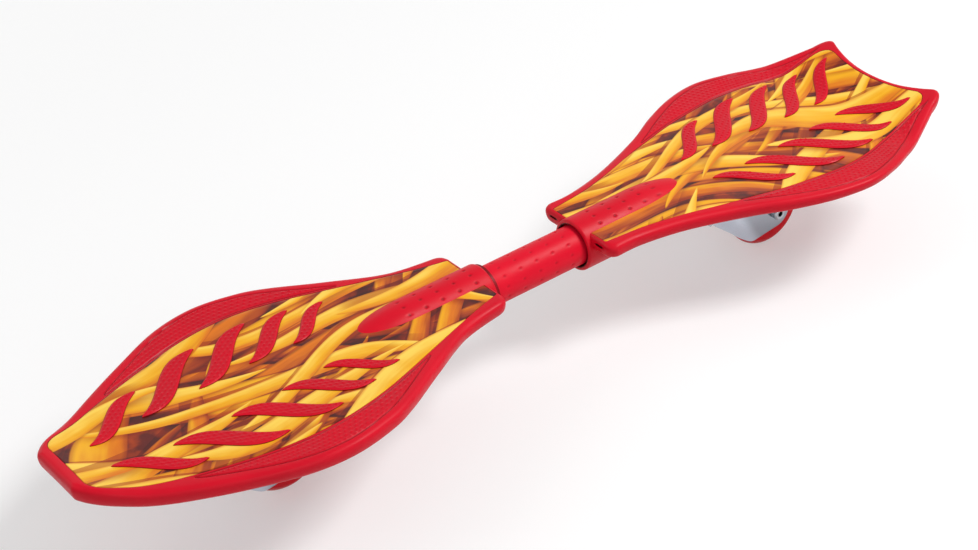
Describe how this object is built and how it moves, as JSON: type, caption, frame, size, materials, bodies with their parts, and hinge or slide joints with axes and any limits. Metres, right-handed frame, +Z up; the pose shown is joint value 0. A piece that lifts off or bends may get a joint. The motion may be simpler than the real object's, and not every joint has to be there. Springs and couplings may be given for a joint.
{
  "type": "caster board",
  "caption": "Twisting caster board: two dished foot decks with grip leaves on a sprung neck, each on one inclined swivel caster with a trailing wheel.",
  "frame": {"origin": "on the ground under the middle of the board, with both wheels standing on z = 0", "axes": "+X forward to the blunt nose, +Y to the rider's left, +Z up"},
  "size_m": [0.8619, 0.2392, 0.1219],
  "materials": {
    "deck_plastic": "satin red moulded plastic with fine grip dimples",
    "printed_panel": "glossy printed panel in gold, amber and rust streaks",
    "boot_plastic": "satin red dimpled sleeve",
    "steel": "ground steel",
    "zinc_plate": "bright zinc plate",
    "fork_chrome": "bright pressed steel",
    "black_nylon": "matte black nylon",
    "wheel_urethane": "satin red cast urethane",
    "black_screw": "black oxide"
  },
  "bodies": {
    "front_deck": {"front_deck_shell": "deck_plastic", "front_graphic_panel": "printed_panel", "front_bar_socket": "steel", "front_socket_screw": "black_screw", "front_caster_plate": "zinc_plate", "front_plate_screw_1": "zinc_plate", "front_plate_screw_2": "zinc_plate", "front_plate_screw_3": "zinc_plate", "front_plate_screw_4": "zinc_plate", "front_upper_race": "steel", "front_kingpin_bolt": "steel", "front_kingpin_nut": "zinc_plate", "neck_boot": "boot_plastic", "neck_tube": "steel", "torsion_bar": "steel"},
    "rear_deck": {"rear_deck_shell": "deck_plastic", "rear_graphic_panel": "printed_panel", "rear_bar_socket": "steel", "rear_socket_screw": "black_screw", "rear_caster_plate": "zinc_plate", "rear_plate_screw_1": "zinc_plate", "rear_plate_screw_2": "zinc_plate", "rear_plate_screw_3": "zinc_plate", "rear_plate_screw_4": "zinc_plate", "rear_upper_race": "steel", "rear_kingpin_bolt": "steel", "rear_kingpin_nut": "zinc_plate", "neck_bush_outer": "black_nylon", "neck_bush_inner": "black_nylon"},
    "front_swivel": {"front_fork": "fork_chrome", "front_ball_ring": "steel", "front_axle_bolt": "zinc_plate", "front_axle_nut": "zinc_plate", "front_axle_spacer_left": "steel", "front_axle_spacer_right": "steel"},
    "rear_swivel": {"rear_fork": "fork_chrome", "rear_ball_ring": "steel", "rear_axle_bolt": "zinc_plate", "rear_axle_nut": "zinc_plate", "rear_axle_spacer_left": "steel", "rear_axle_spacer_right": "steel"},
    "front_wheel": {"front_tyre": "wheel_urethane", "front_wheel_core": "black_nylon", "front_bearing_left": "steel", "front_bearing_right": "steel", "front_bearing_spacer": "steel"},
    "rear_wheel": {"rear_tyre": "wheel_urethane", "rear_wheel_core": "black_nylon", "rear_bearing_left": "steel", "rear_bearing_right": "steel", "rear_bearing_spacer": "steel"}
  },
  "joints": [
    {"name": "neck_twist", "type": "hinge", "parent": "front_deck", "child": "rear_deck", "pos_m": [-0.0645, 0, 0.0912], "axis": [1, 0, 0], "range_deg": [-30, 30], "stiffness_Nm_per_rad": 30},
    {"name": "front_caster_swivel", "type": "hinge", "parent": "front_deck", "child": "front_swivel", "pos_m": [0.3058, 0, 0.07893], "axis": [0.5, 0, 0.866], "continuous": true},
    {"name": "rear_caster_swivel", "type": "hinge", "parent": "rear_deck", "child": "rear_swivel", "pos_m": [-0.2165, 0, 0.07893], "axis": [0.5, 0, 0.866], "continuous": true},
    {"name": "front_wheel_roll", "type": "hinge", "parent": "front_swivel", "child": "front_wheel", "pos_m": [0.24429, 0, 0.038], "axis": [0, 1, 0], "continuous": true},
    {"name": "rear_wheel_roll", "type": "hinge", "parent": "rear_swivel", "child": "rear_wheel", "pos_m": [-0.27801, 0, 0.038], "axis": [0, 1, 0], "continuous": true}
  ]
}
